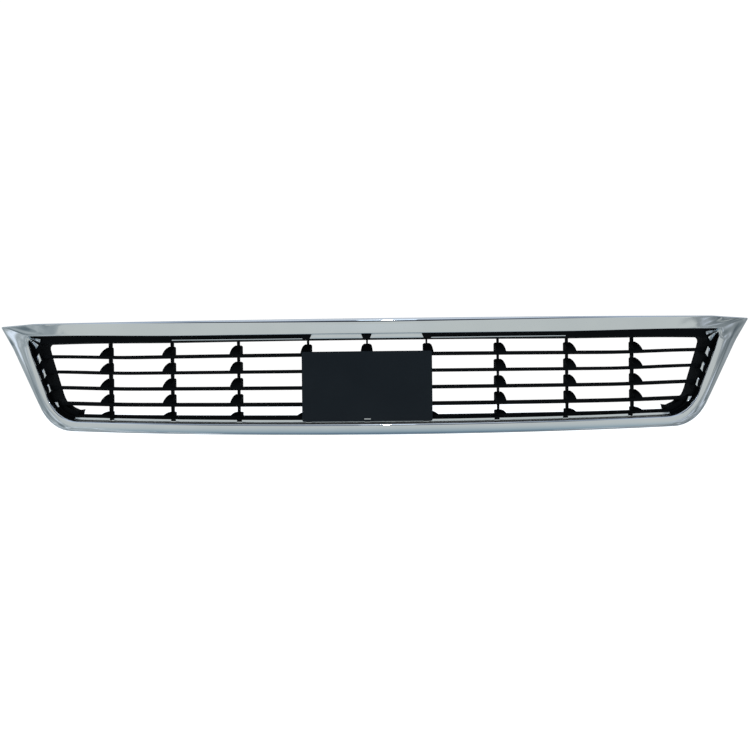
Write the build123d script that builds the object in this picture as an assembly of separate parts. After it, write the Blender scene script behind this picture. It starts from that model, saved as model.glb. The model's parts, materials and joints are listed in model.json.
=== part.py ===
from build123d import *
import os
from math import asin, cos, degrees, radians, sqrt, tan

# Front lower grille of a car: a plated surround, a black louvre insert screwed into it from
# behind, and a snap-in cover over the middle louvres. Millimetres. +X is the viewer's right,
# +Z is up, and the visible face looks along -Y. The whole front is swept back in plan, so every
# depth is a set-back: a distance behind the plated face, measured towards the plan centre.

# ---- overall sizes ----
WIDTH = 1126.0              # tip to tip
HEIGHT = 160.5              # highest point of the shoulders to the lowest of the bottom band
PLAN_RADIUS = 1276.0        # plan curve of the plated face
TOP_BOW = 4.6               # the top edge dips this much at the middle
BOTTOM_BOW = 3.0            # the bottom edge hangs this much lower at the middle

# ---- plated surround ----
TOP_BAR = 20.9              # height of the top bar's face
BOTTOM_BAND = 15.2          # height of the bottom band's face
SIDE_BAND = 26.0            # width of a side band, across at mid height
TIP_OUT = 5.1               # a tip stands this far outside the line of the side band's edge
TIP_DROP = 2.5              # a tip lies this far under the shoulder
SHOULDER_IN = 63.0          # where the top edge starts to fall towards the tip
OUTER_LEAN = 30.0           # degrees from upright, outer edge of a side band
INNER_LEAN = 24.5           # degrees from upright, inner edge of a side band
FLARE_LEAN = 36.2           # degrees from upright, edge just under the tip
FLARE_RADIUS = 120.0
CORNER_RADIUS = 60.0        # lower corners, outside and inside
TOP_CORNER_RADIUS = 5.0     # upper corners, inside
CHROME_WALL = 3.0
OUTER_RETURN = 22.0         # depth of the outer return wall
INNER_RETURN = 10.0         # depth of the inner return wall and of the screw bosses
LIP_WIDTH = 5.0             # recessed lip along the bottom and over the cover
LIP_WALL = 2.5
BAR_SETBACK = 2.2           # the bar leans back this much at its upper edge
RIM_HEIGHT = 3.4            # rolled rim above the flat of the bar
RIM_SETBACK = 4.0
ROLL_HEIGHT = 12.0          # rounded lower part of the bottom band
ROLL_SETBACK = 6.0
ROLL_MIDDLE = (0.25, 0.4)   # middle of the roll, as parts of its set-back and height

# ---- louvre insert ----
SEAT_GAP = 0.1              # between parts that seat on each other
FLANGE_WALL = 2.5
FLANGE_OUT = 10.5           # flange reaches this far behind the surround
FLANGE_END_IN = 46.0        # from a tip to the flange's end
OPENING_INSET = 9.0         # from the surround's inner edge to the opening, at mid height
OPENING_LEAN = 20.0         # degrees from upright, sides of the opening
OPENING_RADIUS = 50.0
ROOF_DROP = 1.4             # from the foot of the key blocks to the roof of the duct
DUCT_WALL = 2.5
DUCT_DEPTH = 32.0           # the duct reaches this far behind the flange
SLAT_COUNT = 5
SLAT_THICKNESS = 4.2
SLAT_DEPTH = 22.0
SLAT_FRONT = 12.0           # set-back of the slats' front edges
FIRST_ROW = 20.2            # roof of the duct to the first slat's middle
LAST_ROW = 17.7             # between the last two slats
RIBS_EACH_SIDE = 4
RIB_THICKNESS = 2.2
RIB_DEPTH = 12.0
RIB_INSET = 1.0             # ribs stop this far short of the slats' back edges
END_BAY = 102.5             # outermost rib to the end of the opening, at mid height
FIN_BASE = 15.4             # width of a fin at its front foot
FIN_TOP = 10.4               # width of a fin where it meets the rib
FIN_CLEAR = 5.567           # from a fin of the first row to the roof of the duct
FIN_BULGE = (0.36, 0.66)    # middle of a fin's edge, as parts of its length and height
SMALL_FIN = 5.5             # height of the fins on the last slat
BLOCK_TOP = 15.0            # key blocks over the cover, wider at the top
BLOCK_BOTTOM = 10.0
FOOT_WIDTH = 6.0            # rib feet that key into the bottom lip
FOOT_DROP = 2.2
KEY_GAP = 0.4               # clearance around keys and hooks
HOOK_ROWS = 3               # hooks stand level with the first slats
HOOK_HEIGHT = 9.0
HOOK_REACH = 3.4
HOOK_NIB = 1.4
HOOK_CLEAR = 0.3            # from a hook to the wall of the duct
# corner web of the duct: X out from the opening's lower corner, and Z above the last slat
GUSSET = ((8.0, 0.0), (8.0, 26.0), (-14.0, 13.0), (-30.0, 7.0), (-33.0, 10.0), (-30.0, 0.0))
GUSSET_SETBACK = 14.0

# ---- cover over the middle louvres ----
COVER_WIDTH = 175.0
COVER_WALL = 3.0
COVER_FRONT = 3.8           # set-back of the cover's face
COVER_OVER = 3.8            # the cover stands this far over the first slat's middle
COVER_GAP = 2.6             # between the cover and the bottom band
COVER_CORNER = 2.5
STUD_X = 55.0
STUD_RADIUS = 2.4
STUD_LENGTH = 22.0
STUD_POINT = 1.0            # chamfer at a stud's end
STUD_GAP = 0.3              # all round a stud in its grommet
RIB_IN_COVER = 6.5          # ribs beside the cover stand this far inside its edge
SLOT_LENGTH = 10.0          # pry slot in the cover's lower edge
SLOT_WIDTH = 1.6
SLOT_UP = 3.2
SLOT_DEPTH = 1.0
WEB_WIDTH = 16.0            # webs between slats that carry the grommets
WEB_WALL = 3.0
WEB_SETBACK = 15.0
GROMMET_RADIUS = 4.4
GROMMET_FLANGE = 6.0
GROMMET_RIM = 1.4
GROMMET_TAIL = 3.0

# ---- fasteners ----
BOSS_RADIUS = 3.4
BOSS_OUT = 6.6              # screw line, outside the surround's inner edge
SCREW_RADIUS = 1.7
SCREW_HEAD = 3.6
SCREW_HEAD_HEIGHT = 2.2
SCREW_BITE = 6.0            # length of thread in a boss
PILOT_FLOOR = 0.5           # the screw stops this far short of the pilot hole's floor
DRIVE_HALF = 2.2            # cross recess in a screw head
DRIVE_WIDTH = 0.8
DRIVE_DEPTH = 1.1
THREAD_GAP = 0.05
HOLE_GAP = 0.5

# ---- fixing to the car ----
TAB_WIDTH = 26.0
TAB_WALL = 3.0
TAB_REACH = 26.0            # a tab reaches this far behind the outer return
TAB_INSET = 2.0             # from the outer face of the return to the tab
TAB_HOLE_RADIUS = 4.0
TAB_EDGE = 11.0             # hole to the tab's free end
TAB_CORNER = 4.0
TAB_ROOT = 5.0              # a tab starts this far inside the outer return
UPPER_INNER_X = 130.0
UPPER_OUTER_IN = 173.0      # from a tip to the outer upper tabs
LOWER_INNER_X = 100.0
LOWER_OUTER_X = 300.0
NUT_SHEET = 1.2             # folded clip nuts and spring clips
NUT_WIDTH = 16.0
NUT_LENGTH = 20.0
NUT_HOLE_RADIUS = 2.5
NUT_BARREL = 3.0
NUT_BARREL_WALL = 1.5
CLIP_GAP = 0.2
BARB = ((3.0, -0.4), (12.0, 2.2), (12.0, -0.4))   # in from the clip's fold, and over its leaf
BARB_HALF = 2.0
BARB_X = 4.5
BRACKET_WALL = 2.0
BRACKET_HEIGHT = 12.0
BRACKET_CORNER = 3.0
BRACKET_INNER_X = 84.0      # from a tip to the bracket's free end
BRACKET_OUTER_X = 19.0      # from a tip to the bracket's outer end
BRACKET_SCREWS = (41.0, 24.0)   # from a tip to the two screws
BRACKET_HOLE_X = 74.0       # from a tip to the bolt hole
BRACKET_DROP = 13.5         # from the shoulder to the bracket's middle line
BRACKET_SETBACK = 12.0      # the brackets lie this far behind the tips
BRACKET_HOLE_RADIUS = 3.3
WELD_NUT_RADIUS = 5.5
WELD_NUT_HEIGHT = 5.0
SEAL_DEPTH = 9.0
SEAL_HEIGHT = 6.5
SEAL_SETBACK = 29.0
SEAL_END_IN = 60.0          # seals stop this far short of the opening's ends

# ---- derived places ----
HALF_WIDTH = WIDTH / 2
TIP_SAG = PLAN_RADIUS - sqrt(PLAN_RADIUS ** 2 - HALF_WIDTH ** 2)
FRONT_Y = -(TIP_SAG + OUTER_RETURN) / 2
AXIS_Y = FRONT_Y + PLAN_RADIUS
PLAN_AXIS = Axis((0, AXIS_Y, 0), (0, 0, 1))
SHOULDER_Z = HEIGHT / 2
SHOULDER_X = HALF_WIDTH - SHOULDER_IN
UPPER_OUTER_X = HALF_WIDTH - UPPER_OUTER_IN
TIP_Z = SHOULDER_Z - TIP_DROP
BOTTOM_Z = -HEIGHT / 2
OUTER_X0 = HALF_WIDTH - TIP_OUT - TIP_Z * tan(radians(OUTER_LEAN))
INNER_X0 = OUTER_X0 - SIDE_BAND
OPENING_X0 = INNER_X0 - OPENING_INSET
FLANGE_FRONT = INNER_RETURN + SEAT_GAP
FLANGE_BACK = FLANGE_FRONT + FLANGE_WALL
DUCT_BACK = FLANGE_BACK + DUCT_DEPTH
LIP_FRONT = INNER_RETURN - LIP_WALL
ROOF_Z = SHOULDER_Z - TOP_BOW - TOP_BAR - LIP_WIDTH - KEY_GAP - ROOF_DROP
LAST_SLAT_Z = BOTTOM_Z + BOTTOM_BAND + LIP_WIDTH + KEY_GAP + SLAT_THICKNESS / 2
SLAT_FIRST_Z = ROOF_Z - FIRST_ROW
SLAT_PITCH = (SLAT_FIRST_Z - LAST_SLAT_Z - LAST_ROW) / (SLAT_COUNT - 2)
SLAT_Z = [SLAT_FIRST_Z - SLAT_PITCH * i for i in range(SLAT_COUNT - 1)] + [LAST_SLAT_Z]
FIN_HEIGHT = FIRST_ROW - SLAT_THICKNESS / 2 - FIN_CLEAR
FIRST_RIB_X = COVER_WIDTH / 2 - RIB_IN_COVER
RIB_PITCH = (OPENING_X0 - END_BAY - FIRST_RIB_X) / (RIBS_EACH_SIDE - 1)
RIB_X = [0.0] + [FIRST_RIB_X + RIB_PITCH * i for i in range(RIBS_EACH_SIDE)]
BAY_X = [(a + b) / 2 for a, b in zip(RIB_X, RIB_X[1:])]
COVER_TOP_Z = SLAT_FIRST_Z + COVER_OVER
COVER_BOTTOM_Z = BOTTOM_Z + BOTTOM_BAND + COVER_GAP
BRACKET_Y = FRONT_Y + TIP_SAG + BRACKET_SETBACK
BRACKET_Z = SHOULDER_Z - BRACKET_DROP
SIDES = (-1, 1)
HALF_TURN = 45              # degrees of sweep on each side of the middle
REACH = 400.0               # longer than anything that it cuts or trims
BITE = 1.0                  # joined solids run this far into each other, and cuts this far past


# ---- helpers ----
def face_y(x, setback=0.0):
    """Y of the swept surface that lies this far behind the plated face, at x."""
    return AXIS_Y - sqrt((PLAN_RADIUS - setback) ** 2 - x ** 2)


def top_z(x):
    """Height of the surround's top edge at x."""
    return SHOULDER_Z - TOP_BOW * (1 - (x / SHOULDER_X) ** 2)


def bottom_z(x):
    """Height of the surround's bottom edge at x."""
    return BOTTOM_Z + BOTTOM_BOW * (x / OUTER_X0) ** 2


def inner_side_x(z):
    """X of the inner edge of the right side band at height z."""
    return INNER_X0 + z * tan(radians(INNER_LEAN))


def swept(front, back, low=-REACH / 2, high=REACH / 2):
    """Ring about the plan axis, from one set-back to another and between two heights."""
    height = high - low
    ring = Cylinder(PLAN_RADIUS - front, height) - Cylinder(PLAN_RADIUS - back, height)
    return Pos(0, AXIS_Y, (low + high) / 2) * ring


def prism(outline):
    """An outline drawn in X and Z, carried through the whole depth."""
    return extrude(Plane.XZ * outline, REACH, both=True)


def swing(shape, x):
    """Turn a shape built at X = 0 about the plan axis; it meets the insert's seat at x."""
    return shape.rotate(PLAN_AXIS, degrees(asin(x / (PLAN_RADIUS - INNER_RETURN))))


def rod(x, z, radius, front, back):
    """Round bar square to the sweep at x, between two set-backs."""
    bar = Pos(0, FRONT_Y + (front + back) / 2, z) * Rot(90, 0, 0) * Cylinder(radius, back - front)
    return swing(bar, x)


def bar_along_y(x, z, radius, start, end):
    """Round bar parallel to Y, between two Y values."""
    return Pos(x, (start + end) / 2, z) * Rot(90, 0, 0) * Cylinder(radius, end - start)


def block(x_range, y_range, z_range):
    """Box between the given limits."""
    size = [b - a for a, b in (x_range, y_range, z_range)]
    middle = [(a + b) / 2 for a, b in (x_range, y_range, z_range)]
    return Pos(*middle) * Box(*size)


def rectangle(x_low, x_high, z_low, z_high):
    """Rectangle in the outline plane."""
    centre = Pos((x_low + x_high) / 2, (z_low + z_high) / 2)
    return centre * Rectangle(x_high - x_low, z_high - z_low)


def closed_outline(right_side, top_mid, bottom_mid):
    """Symmetric outline: bowed top and bottom edges joined by two mirrored sides."""
    left_side = [(-x, z) for x, z in right_side]
    edges = [ThreePointArc(left_side[0], (0, top_mid), right_side[0])]
    edges += [Line(a, b) for a, b in zip(right_side, right_side[1:])]
    edges += [ThreePointArc(right_side[-1], (0, bottom_mid), left_side[-1])]
    edges += [Line(a, b) for a, b in zip(left_side, left_side[1:])]
    return make_face(Curve() + edges)


def rounded(outline, x, z, radius):
    """Round the outline's two mirrored corners nearest to x and z; a spent radius stays sharp."""
    if radius < 0.2:
        return outline
    corners = [outline.vertices().sort_by_distance((side * x, z, 0))[0] for side in SIDES]
    return fillet(corners, radius)


def crossing(x_foot, x_lean, z_foot, z_fall):
    """Where the line x = x_foot + z * x_lean meets the line z = z_foot - x * z_fall."""
    x = (x_foot + x_lean * z_foot) / (1 + x_lean * z_fall)
    return (x, z_foot - x * z_fall)


def outer_outline(inset=0.0):
    """Outer edge of the surround with its pointed tips, moved in by inset."""
    side = tan(radians(OUTER_LEAN))
    flare = tan(radians(FLARE_LEAN))
    fall = TIP_DROP / SHOULDER_IN
    side_foot = OUTER_X0 - inset / cos(radians(OUTER_LEAN))
    flare_foot = HALF_WIDTH - TIP_Z * flare - inset / cos(radians(FLARE_LEAN))
    knee_z = (flare_foot - side_foot) / (side - flare)
    knee = (side_foot + knee_z * side, knee_z)
    low_z = BOTTOM_Z + BOTTOM_BOW + inset
    low = (side_foot + low_z * side, low_z)
    tip = crossing(flare_foot, flare, SHOULDER_Z - inset + fall * SHOULDER_X, fall)
    points = [(SHOULDER_X, SHOULDER_Z - inset), tip, knee, low]
    outline = closed_outline(points, SHOULDER_Z - TOP_BOW - inset, BOTTOM_Z + inset)
    outline = rounded(outline, *knee, FLARE_RADIUS + inset)
    return rounded(outline, *low, CORNER_RADIUS - inset)


def inner_outline(out=0.0):
    """Inner edge of the surround, moved out by out."""
    lean = tan(radians(INNER_LEAN))
    foot = INNER_X0 + out / cos(radians(INNER_LEAN))
    high_z = SHOULDER_Z - TOP_BAR + out
    low_z = BOTTOM_Z + BOTTOM_BOW + BOTTOM_BAND - out
    high = (foot + high_z * lean, high_z)
    low = (foot + low_z * lean, low_z)
    outline = closed_outline([high, low], high_z - TOP_BOW, low_z - BOTTOM_BOW)
    outline = rounded(outline, *high, TOP_CORNER_RADIUS + out)
    return rounded(outline, *low, CORNER_RADIUS + out)


def opening_outline(out=0.0):
    """Inside of the insert's duct, moved out by out; its floor is the last slat's middle."""
    lean = tan(radians(OPENING_LEAN))
    foot = OPENING_X0 + out / cos(radians(OPENING_LEAN))
    high = (foot + (ROOF_Z + out) * lean, ROOF_Z + out)
    low = (foot + (LAST_SLAT_Z - out) * lean, LAST_SLAT_Z - out)
    points = [high, low, (-low[0], low[1]), (-high[0], high[1])]
    outline = make_face(Polyline(*points, close=True))
    outline = rounded(outline, *high, TOP_CORNER_RADIUS + out)
    return rounded(outline, *low, OPENING_RADIUS + out)


def screw_places(names):
    """X and Z of the insert's screws, by the run that they hold."""
    lean_out = BOSS_OUT / cos(radians(INNER_LEAN))
    end_x = (RIB_X[-1] + OPENING_X0) / 2
    places = {"top": [], "bottom": [], "left": [], "right": []}
    for x in BAY_X + [end_x]:
        for side in SIDES:
            places["top"].append((side * x, top_z(x) - TOP_BAR + BOSS_OUT))
    for x in BAY_X:
        for side in SIDES:
            places["bottom"].append((side * x, bottom_z(x) + BOTTOM_BAND - BOSS_OUT))
    for upper, lower in ((0, 1), (2, 3)):
        z = (SLAT_Z[upper] + SLAT_Z[lower]) / 2
        places["left"].append((-inner_side_x(z) - lean_out, z))
        places["right"].append((inner_side_x(z) + lean_out, z))
    return [place for name in names for place in places[name]]


ALL_SCREWS = screw_places(("top", "bottom", "left", "right"))


def moulded_front(start, back):
    """Body from the plated face, moved back by start, to the set-back where it ends."""
    top = SHOULDER_Z + BITE
    low = BOTTOM_Z - BITE
    rim_foot = SHOULDER_Z - TOP_BOW - RIM_HEIGHT
    bar_foot = SHOULDER_Z - TOP_BOW - TOP_BAR
    middle = (ROLL_SETBACK * ROLL_MIDDLE[0], low + ROLL_HEIGHT * ROLL_MIDDLE[1])
    roll = [(ROLL_SETBACK, low), middle, (0, low + ROLL_HEIGHT)]
    bar = [(BAR_SETBACK, rim_foot), (BAR_SETBACK + RIM_SETBACK, top)]
    roll, bar = [[(depth + start, z) for depth, z in points] for points in (roll, bar)]
    edges = [ThreePointArc(*roll)]
    edges += [Polyline(roll[-1], (start, bar_foot), *bar, (back, top), (back, low), roll[0])]
    profile = Pos(0, FRONT_Y, 0) * (Plane.YZ * make_face(Curve() + edges))
    return revolve(profile.rotate(PLAN_AXIS, -HALF_TURN), PLAN_AXIS, 2 * HALF_TURN)


def hook_outline(z, gap):
    """Where a snap hook stands on the inner edge at height z, on both sides."""
    reach = inner_outline(gap) - inner_outline(-HOOK_REACH - gap)
    half = HOOK_HEIGHT / 2 + gap
    rows = rectangle(-WIDTH, -RIB_X[-1], z - half, z + half)
    rows += rectangle(RIB_X[-1], WIDTH, z - half, z + half)
    return reach & rows


def lip_outline():
    """Recessed lip under the louvres and over the cover, with notches for the insert's keys."""
    ring = inner_outline() - inner_outline(-LIP_WIDTH)
    low_end = OPENING_X0 - CORNER_RADIUS
    lip_top = BOTTOM_Z + BOTTOM_BAND + LIP_WIDTH + BOTTOM_BOW
    lip = ring & rectangle(-low_end, low_end, BOTTOM_Z, lip_top)
    lip += ring & rectangle(-FIRST_RIB_X, FIRST_RIB_X, ROOF_Z, SHOULDER_Z)
    for side_x in RIB_X:
        for x in sorted({-side_x, side_x}):
            lip -= foot_outline(x, KEY_GAP)
            if side_x <= FIRST_RIB_X:
                lip -= block_outline(x, KEY_GAP)
    return lip


def block_outline(x, gap):
    """Key block over the cover: an upside-down trapezium that hangs from the bar's lower edge."""
    high = top_z(x) - TOP_BAR - KEY_GAP + 2 * gap
    low = ROOF_Z
    wide = BLOCK_TOP / 2 + gap
    narrow = BLOCK_BOTTOM / 2 + gap
    points = [(x - wide, high), (x + wide, high), (x + narrow, low), (x - narrow, low)]
    return make_face(Polyline(*points, close=True))


def foot_outline(x, gap):
    """Foot of a rib, which keys into the edge of the bottom lip."""
    half = FOOT_WIDTH / 2 + gap
    low = LAST_SLAT_Z - SLAT_THICKNESS / 2 - FOOT_DROP - gap
    return rectangle(x - half, x + half, low, LAST_SLAT_Z)


def tab(x, upper, drilled):
    """Tab behind the outer return, with or without an upright bolt hole."""
    edge = top_z(x) - TAB_INSET - TAB_WALL if upper else bottom_z(x) + TAB_INSET
    start = face_y(x, OUTER_RETURN - TAB_ROOT)
    end = face_y(x, OUTER_RETURN) + TAB_REACH
    plate = block((x - TAB_WIDTH / 2, x + TAB_WIDTH / 2), (start, end), (edge, edge + TAB_WALL))
    plate = fillet(plate.edges().filter_by(Axis.Z).group_by(Axis.Y)[-1], TAB_CORNER)
    if not drilled:
        return plate
    middle = Pos(x, end - TAB_EDGE, edge + TAB_WALL / 2)
    return plate - middle * Cylinder(TAB_HOLE_RADIUS, 2 * TAB_WALL)


def bracket_boss_places(side):
    """X of the two screws that hold an end bracket."""
    return [side * (HALF_WIDTH - inset) for inset in BRACKET_SCREWS]


# ---- sub-parts ----
def chrome_surround():
    """One plated moulding: face, return walls, lip, hooks, bosses and fixing tabs."""
    shell = moulded_front(0, OUTER_RETURN) & prism(outer_outline() - inner_outline())
    hollow = outer_outline(CHROME_WALL) - inner_outline(CHROME_WALL)
    shell -= moulded_front(CHROME_WALL, OUTER_RETURN + BITE) & prism(hollow)
    shell -= swept(INNER_RETURN, OUTER_RETURN + BITE) & prism(inner_outline(CHROME_WALL + BITE))
    shell += swept(LIP_FRONT, INNER_RETURN) & prism(lip_outline())
    hooks = [hook_outline(z, 0) for z in SLAT_Z[:HOOK_ROWS]]
    shell += swept(CHROME_WALL, FLANGE_BACK + 2 * HOOK_NIB) & prism(Sketch() + hooks)
    for z in SLAT_Z[:HOOK_ROWS]:
        nib = hook_outline(z, 0) + Pos(0, HOOK_NIB) * hook_outline(z, 0)
        nib -= opening_outline(DUCT_WALL + HOOK_CLEAR)
        shell += swept(FLANGE_BACK + KEY_GAP, FLANGE_BACK + 2 * HOOK_NIB) & prism(nib)
    shell += [rod(x, z, BOSS_RADIUS, CHROME_WALL - BITE, INNER_RETURN) for x, z in ALL_SCREWS]
    for side in SIDES:
        shell += tab(side * UPPER_INNER_X, True, True)
        shell += tab(side * UPPER_OUTER_X, True, True)
        shell += tab(side * LOWER_INNER_X, False, True)
        shell += tab(side * LOWER_OUTER_X, False, False)
    pilot = SCREW_RADIUS + THREAD_GAP
    for side in SIDES:
        for x in bracket_boss_places(side):
            root = face_y(x, CHROME_WALL)
            shell += bar_along_y(x, BRACKET_Z, BOSS_RADIUS, root, BRACKET_Y - SEAT_GAP)
            start = BRACKET_Y - SCREW_BITE - BITE
            shell -= bar_along_y(x, BRACKET_Z, pilot, start, BRACKET_Y)
    pilot_end = INNER_RETURN + BITE
    shell -= [rod(x, z, pilot, INNER_RETURN - SCREW_BITE, pilot_end) for x, z in ALL_SCREWS]
    return shell


def fin(x, z, height):
    """Gusset that rises from a slat's front edge to the rib behind it."""
    start = face_y(x, SLAT_FRONT)
    length = SLAT_DEPTH - 2 * RIB_INSET
    foot = SLAT_THICKNESS / 2
    rise = ThreePointArc((0, 0), (length * FIN_BULGE[0], height * FIN_BULGE[1]), (length, height))
    under = Polyline((length, height), (length, -foot), (0, -foot), (0, 0))
    side_view = Plane.YZ * make_face(Curve() + [rise, under])
    wedge = Pos(0, 0, foot) * extrude(side_view, FIN_BASE, both=True)
    half, back = FIN_BASE / 2, FIN_TOP / 2
    plan = make_face(Polyline((-half, 0), (half, 0), (back, length), (-back, length), close=True))
    return Pos(x, start, z) * (wedge & extrude(plan, REACH / 4, both=True))


def corner_gusset(side):
    """Web that closes the lower corner of the duct, with a peak at its free end."""
    foot_x = OPENING_X0 + LAST_SLAT_Z * tan(radians(OPENING_LEAN))
    points = [(side * (foot_x + out), LAST_SLAT_Z + up) for out, up in GUSSET]
    outline = make_face(Polyline(*points, close=True)) & opening_outline(BITE)
    return swept(GUSSET_SETBACK, SLAT_FRONT + SLAT_DEPTH) & prism(outline)


def carrier_places():
    """X and Z of the cover's four studs: between slats one and two, and four and five."""
    rows = [(SLAT_Z[0] + SLAT_Z[1]) / 2, (SLAT_Z[-2] + SLAT_Z[-1]) / 2]
    return [(side * STUD_X, z) for side in SIDES for z in rows]


def carrier_y():
    """Y of the front of the webs that carry the grommets."""
    return face_y(STUD_X, WEB_SETBACK)


def louvre_insert():
    """One black moulding: flange, duct walls, slats, ribs, fins and keys."""
    end = HALF_WIDTH - FLANGE_END_IN
    flange = inner_outline(FLANGE_OUT) & rectangle(-end, end, -HEIGHT, HEIGHT)
    windows = [hook_outline(z, KEY_GAP) for z in SLAT_Z[:HOOK_ROWS]]
    insert = swept(FLANGE_FRONT, FLANGE_BACK) & prism(flange - opening_outline() - windows)
    insert += swept(FLANGE_FRONT, DUCT_BACK) & prism(opening_outline(DUCT_WALL) - opening_outline())
    half = SLAT_THICKNESS / 2
    slats = [swept(SLAT_FRONT, SLAT_FRONT + SLAT_DEPTH, z - half, z + half) for z in SLAT_Z]
    within = prism(opening_outline(BITE))
    insert += [slat & within for slat in slats]
    insert += [corner_gusset(side) for side in SIDES]
    lip_keys = swept(LIP_FRONT, FLANGE_BACK)
    keys = [foot_outline(x, 0) for x in all_ribs()]
    keys += [block_outline(x, 0) for x in all_ribs() if abs(x) <= FIRST_RIB_X]
    insert += lip_keys & prism(Sketch() + keys)
    for x in all_ribs():
        back = face_y(x, SLAT_FRONT) + SLAT_DEPTH - RIB_INSET
        width = (x - RIB_THICKNESS / 2, x + RIB_THICKNESS / 2)
        insert += block(width, (back - RIB_DEPTH, back), (LAST_SLAT_Z, ROOF_Z + BITE))
        insert += [fin(x, z, FIN_HEIGHT) for z in SLAT_Z[:-1]]
        insert += fin(x, LAST_SLAT_Z, SMALL_FIN)
    for x, z in carrier_places():
        row = SLAT_PITCH if z > 0 else LAST_ROW
        width = (x - WEB_WIDTH / 2, x + WEB_WIDTH / 2)
        depth = (carrier_y(), carrier_y() + WEB_WALL)
        insert += block(width, depth, (z - row / 2, z + row / 2))
        insert -= bar_along_y(x, z, GROMMET_RADIUS + SEAT_GAP, depth[0] - BITE, depth[1] + BITE)
    hole = SCREW_RADIUS + HOLE_GAP
    insert -= [rod(x, z, hole, FLANGE_FRONT - BITE, FLANGE_BACK + BITE) for x, z in ALL_SCREWS]
    return insert


def all_ribs():
    """X of every rib, from left to right."""
    return sorted({side * x for x in RIB_X for side in SIDES})


def centre_cover():
    """Snap-in cover: a swept plate with four studs and a pry slot."""
    outline = rectangle(-COVER_WIDTH / 2, COVER_WIDTH / 2, COVER_BOTTOM_Z, COVER_TOP_Z)
    outline = fillet(outline.vertices(), COVER_CORNER)
    cover = swept(COVER_FRONT, COVER_FRONT + COVER_WALL) & prism(outline)
    start = face_y(STUD_X, COVER_FRONT + COVER_WALL / 2)
    for x, z in carrier_places():
        stud = bar_along_y(x, z, STUD_RADIUS, start, start + STUD_LENGTH)
        cover += chamfer(stud.edges().sort_by(Axis.Y)[-1], STUD_POINT)
    slot_z = COVER_BOTTOM_Z + SLOT_UP
    slot = block((-SLOT_LENGTH / 2, SLOT_LENGTH / 2), (-REACH, face_y(0, COVER_FRONT + SLOT_DEPTH)),
                 (slot_z - SLOT_WIDTH / 2, slot_z + SLOT_WIDTH / 2))
    return cover - slot


def cover_grommets():
    """Nylon grommets that grip the cover's studs."""
    grommets = Part()
    for x, z in carrier_places():
        front = carrier_y() - SEAT_GAP
        body = bar_along_y(x, z, GROMMET_FLANGE, front - GROMMET_RIM, front)
        body += bar_along_y(x, z, GROMMET_RADIUS, front - GROMMET_RIM, front + WEB_WALL + GROMMET_TAIL)
        bore = bar_along_y(x, z, STUD_RADIUS + STUD_GAP, front - REACH, front + REACH)
        grommets += body - bore
    return grommets


def insert_screws(run):
    """Pan-head screws through the insert's flange into the surround's bosses."""
    screws = Part()
    seat = FLANGE_BACK + SEAT_GAP
    for x, z in screw_places((run,)):
        screw = rod(x, z, SCREW_HEAD, seat, seat + SCREW_HEAD_HEIGHT)
        screw += rod(x, z, SCREW_RADIUS, INNER_RETURN - SCREW_BITE + PILOT_FLOOR, seat + BITE)
        floor = FRONT_Y + seat + SCREW_HEAD_HEIGHT - DRIVE_DEPTH
        drive = Pos(0, floor + DRIVE_DEPTH, z) * Box(2 * DRIVE_HALF, 2 * DRIVE_DEPTH, DRIVE_WIDTH)
        drive += Pos(0, floor + DRIVE_DEPTH, z) * Box(DRIVE_WIDTH, 2 * DRIVE_DEPTH, 2 * DRIVE_HALF)
        screws += screw - swing(drive, x)
    return screws


def end_bracket(side):
    """Flat steel strap behind a tip, with two screw holes and a bolt hole."""
    inner = side * (HALF_WIDTH - BRACKET_INNER_X)
    outer = side * (HALF_WIDTH - BRACKET_OUTER_X)
    low = BRACKET_Z - BRACKET_HEIGHT / 2
    limits = (min(inner, outer), max(inner, outer))
    strap = block(limits, (BRACKET_Y, BRACKET_Y + BRACKET_WALL), (low, low + BRACKET_HEIGHT))
    strap = fillet(strap.edges().filter_by(Axis.Y), BRACKET_CORNER)
    behind = BRACKET_Y + BRACKET_WALL + BITE
    for x in bracket_boss_places(side):
        strap -= bar_along_y(x, BRACKET_Z, SCREW_RADIUS + HOLE_GAP, BRACKET_Y - BITE, behind)
    x = side * (HALF_WIDTH - BRACKET_HOLE_X)
    return strap - bar_along_y(x, BRACKET_Z, BRACKET_HOLE_RADIUS, BRACKET_Y - BITE, behind)


def bracket_screws(side):
    """Two screws that hold an end bracket to the surround."""
    screws = Part()
    seat = BRACKET_Y + BRACKET_WALL + SEAT_GAP
    for x in bracket_boss_places(side):
        screw = bar_along_y(x, BRACKET_Z, SCREW_HEAD, seat, seat + SCREW_HEAD_HEIGHT)
        screw += bar_along_y(x, BRACKET_Z, SCREW_RADIUS, BRACKET_Y - SCREW_BITE, seat + BITE)
        screws += screw
    return screws


def bracket_nut(side):
    """Weld nut on the front of an end bracket."""
    x = side * (HALF_WIDTH - BRACKET_HOLE_X)
    end = BRACKET_Y - SEAT_GAP
    hexagon = Plane.XZ * Pos(x, BRACKET_Z) * RegularPolygon(WELD_NUT_RADIUS, 6)
    nut = Pos(0, end, 0) * extrude(hexagon, WELD_NUT_HEIGHT)
    return nut - bar_along_y(x, BRACKET_Z, BRACKET_HOLE_RADIUS, end - REACH, end + REACH)


def folded_clip(x, upper):
    """Folded sheet steel over a tab's free end."""
    edge = top_z(x) - TAB_INSET - TAB_WALL if upper else bottom_z(x) + TAB_INSET
    end = face_y(x, OUTER_RETURN) + TAB_REACH
    inside = (edge - CLIP_GAP, edge + TAB_WALL + CLIP_GAP)
    outside = (inside[0] - NUT_SHEET, inside[1] + NUT_SHEET)
    width = (x - NUT_WIDTH / 2, x + NUT_WIDTH / 2)
    back = end + CLIP_GAP + NUT_SHEET
    body = block(width, (back - NUT_LENGTH, back), outside)
    return body - block((x - REACH, x + REACH), (back - REACH, end + CLIP_GAP), inside)


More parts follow.
